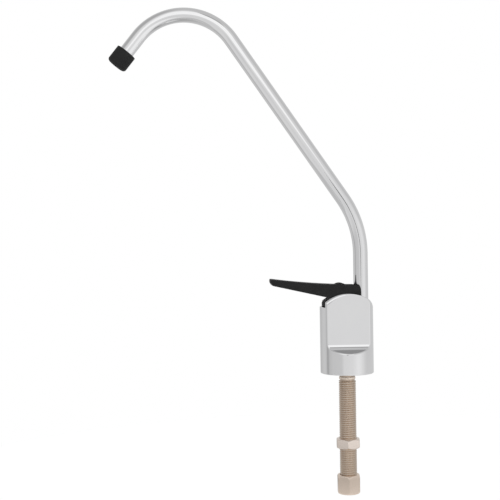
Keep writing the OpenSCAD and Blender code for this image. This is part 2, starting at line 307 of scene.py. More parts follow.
def cell_faces(inside, index, units):
    """A face for each grid edge that the surface crosses, between the points of the four cells round it."""
    quads = []
    for axis in range(3):
        u, v = units[(axis + 1) % 3], units[(axis + 2) % 3]
        lower = [slice(None)] * 3
        upper = [slice(None)] * 3
        lower[axis] = slice(None, -1)
        upper[axis] = slice(1, None)
        s0, s1 = inside[tuple(lower)], inside[tuple(upper)]
        for outward in (True, False):
            edges = np.argwhere((s0 & ~s1) if outward else (~s0 & s1))
            around = [index[tuple((edges - a * u - b * v).T)] for a, b in ((1, 1), (0, 1), (0, 0), (1, 0))]
            if not outward:
                around.reverse()
            quads.append(np.stack(around, axis=1))
    return np.concatenate(quads)


def onto_surface(field, points, step):
    """Moves points onto the zero surface of a field by Newton's method, in small moves."""
    for _ in range(NEWTON_MOVES):
        g = slope(field, points, SLOPE_STEP)
        move = g * (field(*points.T) / np.maximum((g * g).sum(axis=1), LEAST_SLOPE))[:, None]
        length = np.linalg.norm(move, axis=1)
        move *= np.minimum(1.0, LONGEST_MOVE * step / np.maximum(length, TINY))[:, None]
        points = points - move
    return points


def field_mesh(name, field, low, high, step):
    """A mesh of the zero surface of a distance field, with the field's own normals."""
    axes = [np.arange(a - GRID_BEFORE * step, b + GRID_AFTER * step, step) for a, b in zip(low, high)]
    x, y, z = np.meshgrid(*axes, indexing="ij", sparse=True)
    value = np.broadcast_to(field(x, y, z), [len(a) for a in axes])
    inside = value < 0
    counts = np.zeros([len(a) - 1 for a in axes], dtype=np.int8)
    nx, ny, nz = counts.shape
    for i, j, k in itertools.product((0, 1), repeat=3):
        counts += inside[i:nx + i, j:ny + j, k:nz + k]
    active = (counts > 0) & (counts < 8)
    cells = np.argwhere(active)
    index = np.full(active.shape, -1, dtype=np.int64)
    index[active] = np.arange(len(cells))
    units = np.eye(3, dtype=np.int64)
    origin = np.array([a[0] for a in axes])
    points = onto_surface(field, origin + step * cell_points(value, cells, units), step)
    normals = slope(field, points, NORMAL_STEP)
    normals /= np.maximum(np.linalg.norm(normals, axis=1), TINY)[:, None]
    return make_object(name, points, cell_faces(inside, index, units), normals)


def ring(radius, height):
    """A level ring of points about the Z axis, of one radius or of one for each point."""
    return np.stack([radius * np.cos(TURN), radius * np.sin(TURN), np.full(ROUND, height)], axis=1)


def ring_mesh(name, rings, crease):
    """A mesh from rings of points, joined one after the other and the last to the first.

    Edges that turn by more than the crease, in degrees, stay sharp."""
    rings = np.asarray(rings)
    count, size = rings.shape[:2]
    a = np.arange(count)
    b = (a + 1) % count
    s = np.arange(size)
    t = (s + 1) % size
    faces = np.stack([
        (a[:, None] * size + s).ravel(), (a[:, None] * size + t).ravel(),
        (b[:, None] * size + t).ravel(), (b[:, None] * size + s).ravel()], axis=1)
    obj = make_object(name, rings.reshape(-1, 3), faces)
    obj.data.set_sharp_from_angle(angle=math.radians(crease))
    return obj


# Distance fields


def round_max(a, b, radius):
    """Overlap of two fields with a rounded edge."""
    corner = np.hypot(np.maximum(a + radius, 0), np.maximum(b + radius, 0))
    return np.minimum(np.maximum(a, b), -radius) + corner


def between(shape, value, low, high):
    """The stretch of a shape that lies between two values of a coordinate."""
    return np.maximum(shape, np.maximum(low - value, value - high))


def polygon_field(u, v, points):
    """Distance to a closed outline in a plane, negative inside."""
    best = np.inf
    inside = False
    for (u0, v0), (u1, v1) in zip(points, points[1:] + points[:1]):
        eu, ev = u1 - u0, v1 - v0
        du, dv = u - u0, v - v0
        t = np.clip((du * eu + dv * ev) / (eu * eu + ev * ev), 0.0, 1.0)
        best = np.minimum(best, (du - t * eu) ** 2 + (dv - t * ev) ** 2)
        if v0 != v1:
            crossing = ((v0 > v) != (v1 > v)) & (u < eu * (v - v0) / ev + u0)
            inside = np.logical_xor(inside, crossing)
    return np.where(inside, -1.0, 1.0) * np.sqrt(best)


def fillet(corners, steps=8):
    """An outline from pairs of a corner and the radius to which it is rounded."""
    out = []
    points = [Vector(point) for point, _ in corners]
    for i, (here, (_, radius)) in enumerate(zip(points, corners)):
        if radius <= 0:
            out.append(tuple(here))
            continue
        before = points[i - 1] - here
        after = points[(i + 1) % len(points)] - here
        b, a = before.normalized(), after.normalized()
        half = b.angle(a) / 2
        reach = min(radius / math.tan(half), 0.49 * before.length, 0.49 * after.length)
        centre = here + (a + b).normalized() * (reach * math.tan(half) / math.sin(half))
        first = here + b * reach - centre
        turn = first.angle_signed(here + a * reach - centre)
        for k in range(steps + 1):
            c, s = math.cos(-turn * k / steps), math.sin(-turn * k / steps)
            out.append((centre.x + first.x * c - first.y * s, centre.y + first.x * s + first.y * c))
    return out


def arc(centre, radius, start, end, steps=7):
    """Points of an arc between two angles in degrees."""
    turns = np.radians(np.linspace(start, end, steps))
    return [(centre[0] + radius * math.cos(a), centre[1] + radius * math.sin(a)) for a in turns]


# Body


def body_hollows(x, y, z):
    """Valve chamber, water channels, socket of the shank and groove of the base seal."""
    radius = np.hypot(x, y)
    stem = np.hypot(x, y - STEM_Y)
    return [
        between(stem - CHAMBER_R, z, CHAMBER_FLOOR, np.inf),
        between(stem - SEAT_R, z, SEAT_FLOOR, SEAT_TOP),
        between(stem - PORT_R, z, INFLOW_Z, CHAMBER_FLOOR),
        between(np.hypot(x, z - INFLOW_Z) - INFLOW_R, y, STEM_Y, 0.0),
        between(radius - SHANK_BORE_R, z, RISER_LOW, RISER_TOP),
        between(np.hypot(x, z - OUTFLOW_Z) - OUTFLOW_R, y, STEM_Y, SPOUT_Y),
        between(radius - SHANK_SOCKET_R, z, -np.inf, SHANK_SOCKET_TOP),
        between(np.abs(radius - SEAL_GROOVE_R) - SEAL_GROOVE_HALF, z, -np.inf, SEAL_GROOVE_TOP),
    ]


def body_field(x, y, z):
    """The casting: round base, two flat sides on sloped ledges, arched cheeks and the lever's slot."""
    side = np.abs(x)
    radius = np.hypot(x, y)
    to_front = smoothstep(-y, *FRONT_ZONE)
    to_back = smoothstep(y, *BACK_ZONE)
    to_ledge = smoothstep(-z, *LEDGE_ZONE)
    top_edge = TOP_EDGE_FRONT + (TOP_EDGE_BACK - TOP_EDGE_FRONT) * to_back
    flat_edge = FLAT_EDGE_HIGH + (FLAT_EDGE_LOW - FLAT_EDGE_HIGH) * to_ledge
    cheek_edge = CHEEK_EDGE_BACK + (CHEEK_EDGE_FRONT - CHEEK_EDGE_BACK) * to_front
    wall = radius - BASE_R
    arch = np.hypot(y - ARCH_Y, np.maximum(z - ARCH_Z, 0)) - ARCH_R - ARCH_FRONT_SWELL * to_front
    ledge = (LEDGE_Z + LEDGE_SLOPE * (BASE_R - side) - z) / math.hypot(1.0, LEDGE_SLOPE)
    flat = -round_max(FLAT_HALF - side, ledge, COVE_R)
    shape = round_max(wall, arch, top_edge)
    shape = np.maximum(shape, round_max(wall, flat, flat_edge))
    shape = np.maximum(shape, round_max(arch, flat, cheek_edge))
    shape = round_max(shape, -z, FOOT_EDGE)
    slot = np.maximum(between(side - SLOT_HALF, z, SLOT_FLOOR, np.inf), radius - SLOT_FRONT_R)
    slot = between(slot, y, -np.inf, SLOT_REAR)
    gap = between(between(side - SLOT_HALF, z, LIP_Z, np.inf), y, -np.inf, 0.0)
    shape = round_max(shape, -np.minimum(slot, gap), SLOT_EDGE)
    socket = np.hypot(x, y - SPOUT_Y) - SPOUT_R - SOCKET_GAP
    shape = round_max(shape, -between(socket, z, SOCKET_FLOOR, np.inf), SOCKET_EDGE)
    for hollow in body_hollows(x, y, z):
        shape = np.maximum(shape, -hollow)
    return shape


def body():
    low, high = (-BASE_R, -BASE_R, 0), (BASE_R, BASE_R, BODY_TOP)
    return field_mesh("body_look", body_field, low, high, BODY_GRID)


# Lever


def lever_top(y):
    """Height of the lever's top, a shallow curve along it."""
    return CREST_Z + (y - CREST_Y) ** 2 / CREST_SWEEP


def lever_under(y):
    """Height of the blade's lower edge, a straight line from the notch to the end."""
    rise = (BLADE_END_LOW_Z - NOTCH_Z) / (NOTCH_Y - BLADE_END - BLADE_END_SETBACK)
    return NOTCH_Z + (NOTCH_Y - y) * rise


def lever_side():
    """Outline of the lever from the side."""
    end_z = lever_top(BLADE_END)
    corners = [((FORK_Y, FORK_LOW_Z), 0.6), ((FORK_Y, lever_top(FORK_Y)), 4.2)]
    corners += [((y, lever_top(y)), 0.0) for y in np.linspace(0.5, BLADE_END + 2.6, 40)]
    corners += [
        ((BLADE_END - 0.05, end_z), 1.0),
        ((BLADE_END + 0.2, end_z - 2.3), 1.5),
        ((BLADE_END + 1.5, lever_under(BLADE_END + 1.5)), 1.8),
        ((NOTCH_Y, NOTCH_Z), 0.25),
        ((NOTCH_Y - 0.1, NOTCH_Z - 0.9), 0.2),
        ((LEVER_NOSE, NOTCH_Z - 3.3), 0.5),
        ((LEVER_NOSE, LEVER_LOW_Z), 0.4),
        ((STEM_Y + 1, LEVER_LOW_Z), 1.0),
    ]
    return fillet(corners)


def lever_plan():
    """Outline of the lever from above."""
    rear = FORK_Y + 1
    return fillet([
        ((LEVER_HALF, rear), 0.0),
        ((-LEVER_HALF, rear), 0.0),
        ((-LEVER_HALF, BLADE_END), BLADE_CORNER),
        ((LEVER_HALF, BLADE_END), BLADE_CORNER),
    ])


def heel():
    """Outline of the heel ribs: the involute that lifts the stem evenly as the lever turns."""
    lead = STEM_LIFT / LEVER_TRAVEL
    out = [(STEM_Y - HEEL_FRONT, lever_top(STEM_Y) - PLATE / 2), (STEM_Y - HEEL_FRONT, PIN_Z - HEEL_R)]
    for turn in np.linspace(0.0, LEVER_TRAVEL, 24):
        reach = HEEL_R + lead * turn
        out.append((STEM_Y + reach * math.sin(turn) + lead * math.cos(turn),
                    PIN_Z - reach * math.cos(turn) + lead * math.sin(turn)))
    return out + [(PLATE_END, PIN_Z + 3.0), (PLATE_END, lever_top(PLATE_END) - PLATE / 2)]


def blade_hollow():
    """Outline of the space under the blade's top plate."""
    front = NOTCH_Y - 0.1
    top = [(y, lever_top(y) - PLATE) for y in np.linspace(BLADE_HOLLOW_END, front, 12)]
    under = [(y, lever_under(y) - 1.0) for y in (BLADE_HOLLOW_START, BLADE_HOLLOW_END)]
    return top + [(front, NOTCH_Z + 0.1)] + under


def head_hollow():
    """Outline of the space in the lever's head, between its nose and the fork."""
    front, rear, low = NOTCH_Y + 1.4, FORK_Y + 1, LEVER_LOW_Z - 1
    return [
        (front, lever_top(front) - PLATE), (front, NOTCH_Z - 0.8), (NOTCH_Y - 0.2, NOTCH_Z - 2.1),
        (HEAD_INNER_Y, NOTCH_Z - 3.8), (HEAD_INNER_Y, low), (rear, low), (rear, lever_top(FORK_Y) - PLATE)]


LEVER_SIDE = lever_side()
LEVER_PLAN = lever_plan()
HEEL = heel()
BLADE_HOLLOW = blade_hollow()
HEAD_HOLLOW = head_hollow()


def lever_field(x, y, z):
    """The moulding: a hollow blade and head, two heel ribs, a low bump on top, a fork and the pin's bore."""
    side = np.abs(x)
    shape = round_max(polygon_field(y, z, LEVER_SIDE), polygon_field(x, y, LEVER_PLAN), LEVER_EDGE)
    front_r = LEVER_FRONT_R + LIP_OVERHANG * smoothstep(z, LIP_Z, LIP_Z + LIP_RISE)
    beyond = np.maximum(front_r - np.hypot(x, y), np.maximum(y - HEAD_BACK_Y, z - NOTCH_Z))
    shape = round_max(shape, -beyond, NOSE_EDGE)
    hollow = np.minimum(polygon_field(y, z, BLADE_HOLLOW), polygon_field(y, z, HEAD_HOLLOW))
    shape = round_max(shape, -round_max(hollow, side - LEVER_INNER, HOLLOW_CORNER), HOLLOW_EDGE)
    ribs = np.maximum(polygon_field(y, z, HEEL), np.abs(side - RIB_X) - RIB_HALF)
    bump_top = lever_top(BUMP_Y) + BUMP_RISE
    crown = np.hypot(y - BUMP_Y, z - bump_top + BUMP_R) - BUMP_R
    bump = round_max(crown, np.maximum(side - BUMP_HALF, bump_top - BUMP_DEPTH - z), BUMP_EDGE)
    shape = np.minimum(np.minimum(shape, ribs), bump)
    fork = np.maximum(side - FORK_HALF, PLATE_END - y)
    shape = round_max(shape, -fork, FORK_EDGE)
    return np.maximum(shape, PIN_BORE_R - np.hypot(y - STEM_Y, z - PIN_Z))


def lever():
    low, high = (-LEVER_HALF, BLADE_END, LEVER_LOW_Z), (LEVER_HALF, FORK_Y, LEVER_TOP_Z)
    return field_mesh("lever_look", lever_field, low, high, LEVER_GRID)


# Spout


def spout_path():
    """Places (y, z) along the spout's middle line, and the angle by which it leans forward there."""
    out = [(SPOUT_Y, z, 0.0) for z in np.linspace(SPOUT_FOOT_Z, LOW_BEND_Z, 10)]
    for a in np.linspace(0.0, SPOUT_LEAN, 31)[1:]:
        out.append((SPOUT_Y - LOW_BEND_R * (1 - math.cos(a)), LOW_BEND_Z + LOW_BEND_R * math.sin(a), a))

    def straight(length, steps):
        y, z, a = out[-1]
        for s in np.linspace(0.0, length, steps + 1)[1:]:
            out.append((y - s * math.sin(a), z + s * math.cos(a), a))

    straight(SPOUT_RUN, 15)
    y, z, lean = out[-1]
    centre_y, centre_z = y - TOP_BEND_R * math.cos(lean), z - TOP_BEND_R * math.sin(lean)
    for a in np.linspace(lean, lean + SPOUT_TURN, 81)[1:]:
        out.append((centre_y + TOP_BEND_R * math.cos(a), centre_z + TOP_BEND_R * math.sin(a), a))
    straight(OUTLET_RUN, OUTLET_STEPS)
    return out


def spout_ring(y, z, lean, radius):
    """A ring of points square to the spout's middle line."""
    c, s = radius * np.cos(TURN), radius * np.sin(TURN)
    return np.stack([c, y + s * math.cos(lean), z + s * math.sin(lean)], axis=1)


def spout_tube():
    path = spout_path()
    rings = [spout_ring(*place, SPOUT_R) for place in path]
    rings += [spout_ring(*place, SPOUT_BORE_R) for place in reversed(path)]
    return ring_mesh("spout_tube_look", rings, crease=40)


def spout_tip():
    """The tip, turned about the outlet: a sleeve over the tube with a domed end."""
    sleeve_r = SPOUT_R + TIP_GAP
    dome = arc((0, 0), 1.0, 0, 90, 13)
    profile = [(sleeve_r, TIP_START)]
    profile += arc((TIP_R - TIP_REAR_EDGE, TIP_START + TIP_REAR_EDGE), TIP_REAR_EDGE, -90, 0)
    profile += [(TIP_DOME_R + (TIP_R - TIP_DOME_R) * c, TIP_END + TIP_DOME_H * (s - 1)) for c, s in dome]
    profile += arc((SPOUT_BORE_R + TIP_BORE_EDGE, TIP_END - TIP_BORE_EDGE), TIP_BORE_EDGE, 90, 180, 5)
    profile += [(SPOUT_BORE_R, TIP_START + TIP_SLEEVE), (sleeve_r, TIP_START + TIP_SLEEVE)]
    y, z, lean = spout_path()[-OUTLET_STEPS - 1]
    place = np.array(Matrix.Translation((0, y, z)) @ Matrix.Rotation(lean, 4, "X"))
    rings = np.asarray([ring(*point) for point in profile])
    return ring_mesh("spout_tip_look", rings @ place[:3, :3].T + place[:3, 3], crease=35)


# Shank and nuts


def thread_depth(phase):
    """Depth of a rounded vee thread at a phase from 0 to 1."""
    t = np.abs((phase % 1.0) - 0.5) * 2.0
    return THREAD_DEPTH * smoothstep(t, *THREAD_FLANK)


def thread_rings():
    """Rings of the threaded length, from its bevelled lower end to the runout under the neck."""
    out = []
    count = int((THREAD_TOP - SHANK_END) / THREAD_PITCH * RINGS_PER_PITCH)
    for h in np.linspace(SHANK_END, THREAD_TOP, count):
        fade = smoothstep(h, SHANK_END, SHANK_END + THREAD_LEAD)
        fade *= 1 - smoothstep(h, THREAD_TOP - THREAD_RUNOUT, THREAD_TOP)
        bevel = THREAD_END_BEVEL * (1 - smoothstep(h, SHANK_END, SHANK_END + THREAD_END_BEVEL_H))
        depth = thread_depth(h / THREAD_PITCH - TURN / (2 * math.pi))
        out.append(ring(SHANK_R - depth * fade - bevel, h))
    return out


def shank():
    """The pipe: thread, groove, bead and neck outside, then the stepped bore inside."""
    bead = [(r, BEAD_Z - h) for h, r in BEAD_FLANK] + [(SHANK_NECK_R, BEAD_Z)]
    bead += [(r, BEAD_Z + h) for h, r in reversed(BEAD_FLANK)]
    profile = [(SHANK_R - 0.05, -5.3), (4.95, -5.2), (GROOVE_R, -5.05), (GROOVE_R, -4.6)] + bead
    profile += [(COLLAR_R, -2.2), (COLLAR_R, -0.6), (SHANK_NECK_R, -0.5), (SHANK_NECK_R, SHANK_TOP)]
    step = SHANK_END + TUBE_BORE_DEPTH
    profile += [(SHANK_BORE_R, SHANK_TOP), (SHANK_BORE_R, step)]
    profile += [(TUBE_BORE_R, step), (TUBE_BORE_R, SHANK_END)]
    return ring_mesh("shank_look", thread_rings() + [ring(*point) for point in profile], crease=50)


def hex_field(x, y, across, turn):
    """A hexagonal bar, turned about Z by an angle in degrees."""
    c, s = math.cos(math.radians(turn)), math.sin(math.radians(turn))
    u, v = (x * c + y * s) * math.sin(math.pi / 3), -x * s + y * c
    sides = [np.abs(side) - across / 2 for side in (v, u + v * 0.5, u - v * 0.5)]
    return round_max(round_max(sides[0], sides[1], NUT_FLAT_EDGE), sides[2], NUT_FLAT_EDGE)


def nut(name, across, low, high, bevel, turn, bore, reach):
    """A hexagon nut round a bore, its corners bevelled by cones, on a grid that reaches past them."""
    spread = across / math.sqrt(3) - across / 2

    def field(x, y, z):
        r = np.hypot(x, y)
        beyond = r - across / 2 + NUT_BEVEL_START
        shape = round_max(hex_field(x, y, across, turn), np.maximum(low - z, z - high), NUT_FACE_EDGE)
        for height in (z - high, low - z):
            cone = (beyond * bevel + height * spread) / math.hypot(bevel, spread)
            shape = round_max(shape, cone, NUT_BEVEL_EDGE)
        return round_max(shape, -bore(r, z), NUT_BEVEL_EDGE)

    return field_mesh(name, field, (-reach, -reach, low), (reach, reach, high), NUT_GRID)


def lock_bore(r, z):
    """The lock nut's bore, with the grooves of its thread."""
    phase = np.abs(((z / THREAD_PITCH) % 1.0) - 0.5) * 2.0
    groove = LOCK_THREAD_DEPTH * smoothstep(phase, *LOCK_THREAD_FLANK)
    lead_in = smoothstep(z, LOCK_LOW, LOCK_LOW + LOCK_THREAD_LEAD)
    lead_out = 1 - smoothstep(z, LOCK_HIGH - LOCK_THREAD_LEAD, LOCK_HIGH)
    return r - SHANK_R - NUT_GAP - groove * lead_in * lead_out


def inlet_bore(r, z):
    """The inlet nut's bore: the tube's hole, a cone for the ferrule and the place of the shank."""
    height = z - INLET_LOW - INLET_CONE_LOW
    cone = INLET_CONE_R + INLET_CONE_GROWTH * height / INLET_CONE_RISE
    upper = np.where(height < INLET_CONE_RISE, cone, SHANK_R + NUT_GAP)
    return r - np.where(height < 0, TUBE_BORE_R, upper)


# Shader nodes


def new_material(name):
    """An empty node material, its tree and the surface socket of its output."""
    mat = bpy.data.materials.new(name)
    mat.use_nodes = True
    tree = mat.node_tree
    tree.nodes.clear()
    out = tree.nodes.new("ShaderNodeOutputMaterial")
    return mat, tree, out.inputs["Surface"]


def feed(tree, value, socket):
    """Links an output to a socket, or sets a constant on it."""
    if isinstance(value, bpy.types.NodeSocket):
        tree.links.new(value, socket)
    else:
        socket.default_value = value


def coordinates(tree, kind):
    """The three coordinates of a place on the object, or of a direction in the world."""
    coord = tree.nodes.new("ShaderNodeTexCoord")
    split = tree.nodes.new("ShaderNodeSeparateXYZ")
    tree.links.new(coord.outputs[kind], split.inputs["Vector"])
    return split.outputs


def light_path(tree, kind):
    return tree.nodes.new("ShaderNodeLightPath").outputs[kind]


def maths(tree, operation, *values):
    node = tree.nodes.new("ShaderNodeMath")
    node.operation = operation
    for value, socket in zip(values, node.inputs):
        feed(tree, value, socket)
    return node.outputs["Value"]


def weighted_sum(tree, parts):
    """Sum of pairs of a value and its weight."""
    total, *others = [maths(tree, "MULTIPLY", value, weight) for value, weight in parts]
    for term in others:
        total = maths(tree, "ADD", total, term)
    return total


def scaled(tree, value, factor, start):
    """A value times a factor, added to a start."""
    return maths(tree, "ADD", maths(tree, "MULTIPLY", value, factor), start)


def map_range(tree, source, start, end, low=0.0, high=1.0, kind="LINEAR"):
    """Runs from low where the source is at start to high where it is at end."""
    node = tree.nodes.new("ShaderNodeMapRange")
    node.interpolation_type = kind
    node.inputs["From Min"].default_value = start
    node.inputs["From Max"].default_value = end
    node.inputs["To Min"].default_value = low
    node.inputs["To Max"].default_value = high
    tree.links.new(source, node.inputs["Value"])
    return node.outputs["Result"]


def smooth_range(tree, source, start, end):
    """Rises smoothly from 0 where the source is at start to 1 where it is at end."""
    return map_range(tree, source, start, end, kind="SMOOTHSTEP")


def smooth_places(tree, source, places):
    """Rises smoothly from 0 to 1 between two places in millimetres, along a coordinate in metres."""
    start, end = places
    return smooth_range(tree, source, start * MM, end * MM)


def blend(tree, weight, first, second):
    """A colour between two, by a weight."""
    node = tree.nodes.new("ShaderNodeMix")
    node.data_type = "RGBA"
    feed(tree, weight, node.inputs["Factor"])
    feed(tree, first, node.inputs["A"])
    feed(tree, second, node.inputs["B"])
    return node.outputs["Result"]


def colour_ramp(tree, source, stops, interpolation="LINEAR"):
    """Turns a value from 0 to 1 into a colour, from stops of a position and a colour."""
    node = tree.nodes.new("ShaderNodeValToRGB")
    node.color_ramp.interpolation = interpolation
    elements = node.color_ramp.elements
    while len(elements) > 1:
        elements.remove(elements[-1])
    for i, (position, colour) in enumerate(stops):
        element = elements[0] if i == 0 else elements.new(position)
        element.position = position
        element.color = (*colour, 1)
    tree.links.new(source, node.inputs["Fac"])
    return node.outputs["Color"]


def tone_ramp(tree, source, stops):
    """Turns a value from 0 to 1 into a grey, from stops of a position and a tone."""
    return colour_ramp(tree, source, [(position, (tone,) * 3) for position, tone in stops], "EASE")


def emission(tree, colour, strength=1.0):
    node = tree.nodes.new("ShaderNodeEmission")
    feed(tree, colour, node.inputs["Color"])
    node.inputs["Strength"].default_value = strength
    return node.outputs["Emission"]


def mix_shaders(tree, weight, first, second):
    """The first shader where the weight is 0, the second where it is 1."""
    node = tree.nodes.new("ShaderNodeMixShader")
    tree.links.new(weight, node.inputs["Fac"])
    tree.links.new(first, node.inputs[1])
    tree.links.new(second, node.inputs[2])
    return node.outputs["Shader"]


# Materials

WHITE = (1, 1, 1, 1)
# Painted highlight on the shank's bead: its colour, and the heights between which it fades in and out
NECK_HIGHLIGHT = (0.94, 0.81, 0.69, 1)
NECK_LOW = (-4.8, -4.4)
NECK_HIGH = (-2.3, -2.6)
RELIEF_HEIGHT = 0.2
CLOUD_DETAIL = 5.0
GRAIN_DETAIL = 3.0
CLOUD_RANGE = (0.32, 0.68)
GRAIN_RANGE = (0.3, 0.7)


def noise(tree, scale, detail, stretch=(1, 1, 1)):
    coord = tree.nodes.new("ShaderNodeTexCoord")
    mapping = tree.nodes.new("ShaderNodeMapping")
    mapping.inputs["Scale"].default_value = stretch
    texture = tree.nodes.new("ShaderNodeTexNoise")
    texture.inputs["Scale"].default_value = scale
    texture.inputs["Detail"].default_value = detail
    tree.links.new(coord.outputs["Object"], mapping.inputs["Vector"])
    tree.links.new(mapping.outputs["Vector"], texture.inputs["Vector"])
    return texture.outputs["Fac"]


def cloudy(tree, source, low, high):
    """A colour that clouds between two by a noise."""
    return colour_ramp(tree, source, list(zip(CLOUD_RANGE, (low, high))))


def finish_material(name, low, high, metallic, rough, cloud, relief, specular=0.5, stretch=(1, 1, 1)):
    """A procedural finish: a cloudy colour, and a fine grain in its roughness and relief.

    The cloud is the scale of its noise, and the relief the strength and the scale of its own."""
    mat, tree, surface = new_material(name)
    shader = tree.nodes.new("ShaderNodeBsdfPrincipled")
    tree.links.new(shader.outputs["BSDF"], surface)
    strength, grain_scale = relief
    clouds = noise(tree, cloud, CLOUD_DETAIL, stretch)
    grain = noise(tree, grain_scale, GRAIN_DETAIL, stretch)
    tree.links.new(cloudy(tree, clouds, low, high), shader.inputs["Base Color"])
    tree.links.new(map_range(tree, grain, *GRAIN_RANGE, *rough), shader.inputs["Roughness"])
    shader.inputs["Metallic"].default_value = metallic
    shader.inputs["Specular IOR Level"].default_value = specular
    bump = tree.nodes.new("ShaderNodeBump")
    bump.inputs["Strength"].default_value = strength
    bump.inputs["Distance"].default_value = RELIEF_HEIGHT * MM
    tree.links.new(grain, bump.inputs["Height"])
    tree.links.new(bump.outputs["Normal"], shader.inputs["Normal"])
    return mat


def paint_neck_highlight(mat):
    """Paints a highlight on the turned bead above the thread: a lighter band of colour in place of the light
    the bead catches under the base's shade.
    """
    tree = mat.node_tree
    base = tree.nodes["Principled BSDF"].inputs["Base Color"]
    height = coordinates(tree, "Object")["Z"]
    above = smooth_places(tree, height, NECK_LOW)
    below = smooth_places(tree, height, NECK_HIGH)
    # Band of the painted highlight, between the two heights
    bead = maths(tree, "MULTIPLY", above, below)
    tree.links.new(blend(tree, bead, base.links[0].from_socket, NECK_HIGHLIGHT), base)


chrome = finish_material(
    "chrome", (0.885, 0.885, 0.895), (0.905, 0.905, 0.91), metallic=1.0,
    rough=(0.035, 0.06), cloud=60, relief=(0.004, 900))
nickel = finish_material(
    "nickel", (0.67, 0.555, 0.46), (0.71, 0.595, 0.49), metallic=1.0,
    rough=(0.25, 0.30), cloud=90, relief=(0.006, 2500))
nut_nickel = finish_material(
    "nut_nickel", (0.92, 0.81, 0.73), (0.95, 0.84, 0.76), metallic=1.0,
    rough=(0.22, 0.26), cloud=90, relief=(0.006, 2200))
inlet_nickel = finish_material(
    "inlet_nickel", (0.93, 0.78, 0.66), (0.96, 0.81, 0.69), metallic=1.0,
    rough=(0.22, 0.26), cloud=90, relief=(0.006, 2200))
black = finish_material(
    "black_plastic", (0.026, 0.026, 0.0262), (0.033, 0.033, 0.0332), metallic=0.0,
    rough=(0.5, 0.6), cloud=220, relief=(0.05, 3500), specular=0.12)
rubber = finish_material(
    "rubber", (0.012, 0.012, 0.012), (0.02, 0.02, 0.02), metallic=0.0,
    rough=(0.6, 0.8), cloud=300, relief=(0.3, 2600), specular=0.3)
brass = finish_material(
    "brass", (0.70, 0.50, 0.22), (0.80, 0.60, 0.28), metallic=1.0,
    rough=(0.2, 0.32), cloud=200, relief=(0.1, 1800), stretch=(1, 1, 6))
steel = finish_material(
    "steel", (0.50, 0.50, 0.52), (0.60, 0.60, 0.62), metallic=1.0,
    rough=(0.22, 0.34), cloud=260, relief=(0.1, 2400), stretch=(6, 1, 1))
# Painted highlight: a lighter band on the bead of the shank
paint_neck_highlight(nickel)

SLOTS = {
    "chrome": chrome, "nickel": nickel, "black_plastic": black, "rubber": rubber, "brass": brass,
    "steel": steel}


# Pieces


def dress(obj, material):
    obj.data.materials.clear()
    obj.data.materials.append(material)


def stand_in(obj, node, body, material):
    """Puts a modelled piece in the place of a packed one."""
    dress(obj, material)
    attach(obj, body)
    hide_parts(node)


for part in frame["record"]["subparts"]:
    dress(nodes[part["node"]], SLOTS[part["material_slot"]])

stand_in(body(), "body", "body", chrome)
stand_in(lever(), "lever", "lever", black)
stand_in(spout_tube(), "spout_tube", "spout", chrome)
stand_in(spout_tip(), "spout_tip", "spout", black)
stand_in(shank(), "shank", "body", nickel)
lock_nut = nut(
    "lock_nut_look", LOCK_ACROSS, LOCK_LOW, LOCK_HIGH, LOCK_BEVEL, LOCK_TURN, lock_bore, LOCK_REACH)
stand_in(lock_nut, "lock_nut", "lock_nut", nut_nickel)
inlet_nut = nut(
    "compression_nut_look", INLET_ACROSS, INLET_LOW, INLET_HIGH, INLET_BEVEL, INLET_TURN, inlet_bore,
    INLET_REACH)
stand_in(inlet_nut, "compression_nut", "compression_nut", inlet_nickel)


# Camera, fitted to the photograph, with its place and clip distances in metres

EYE = Vector((0.6445, -0.0880, 0.0866))
YAW, PITCH, ROLL = math.radians(2.285), math.radians(0.5066), math.radians(-0.87)
FOCAL_PIXELS = 992.5
PICTURE_PIXELS = 500.0
SENSOR = 36.0
NEAREST, FARTHEST = 0.01, 10.0


def camera():
    data = bpy.data.cameras.new("camera")
    data.sensor_width = SENSOR
    data.lens = FOCAL_PIXELS * SENSOR / PICTURE_PIXELS
    data.clip_start = NEAREST
    data.clip_end = FARTHEST
    look = Vector((-math.cos(PITCH) * math.cos(YAW), math.cos(PITCH) * math.sin(YAW), -math.sin(PITCH)))
    right = Vector((math.sin(YAW), math.cos(YAW), 0))
    up = right.cross(look)
    c, s = math.cos(ROLL), math.sin(ROLL)
    right, up = c * right + s * up, c * up - s * right
    obj = bpy.data.objects.new("camera", data)
    obj.matrix_world = Matrix.Translation(EYE) @ Matrix((right, up, -look)).transposed().to_4x4()
    scene.collection.objects.link(obj)
    scene.camera = obj


# Light tent, with angles in degrees from the viewer's direction

TOWARD = Vector((EYE.x, EYE.y, 0)).normalized()
ACROSS = Vector((-TOWARD.y, TOWARD.x, 0))

# Tones round the horizon, and over the upright plane through the viewer
LEVEL_TONES = [
    (-180, 0.62), (-145, 0.52), (-133, 0.56), (-121, 0.60), (-109, 0.60), (-103, 0.58), (-97, 0.50),
    (-91, 0.36), (-85, 0.46), (-79, 0.53), (-73, 0.55), (-61, 0.58), (-36, 0.59), (-24, 0.60),
    (-18, 0.64), (-12, 0.71), (0, 0.72), (16, 0.735), (24, 0.74), (36, 0.78), (49, 0.81), (61, 0.79),
    (73, 0.74), (85, 0.66), (97, 0.62), (133, 0.62), (180, 0.64)]
UPRIGHT_TONES = [
    (-180, 0.62), (-150, 0.60), (-130, 0.58), (-110, 0.56), (-97, 0.48), (-85, 0.46), (-72, 0.60),
    (-58, 0.70), (-40, 0.71), (-20, 0.69), (0, 0.72), (15, 0.74), (30, 0.70), (60, 0.63), (85, 0.54),
    (110, 0.56), (150, 0.62), (180, 0.62)]

# Round patches: azimuth, elevation, full within, gone beyond, tone
PATCHES = [(-75, 52, 12, 38, 0.42), (52, -36, 12, 34, 0.92)]

# Sines of the elevations between which the upright tones take over
UPRIGHT_RANGE = (0.12, 0.36)


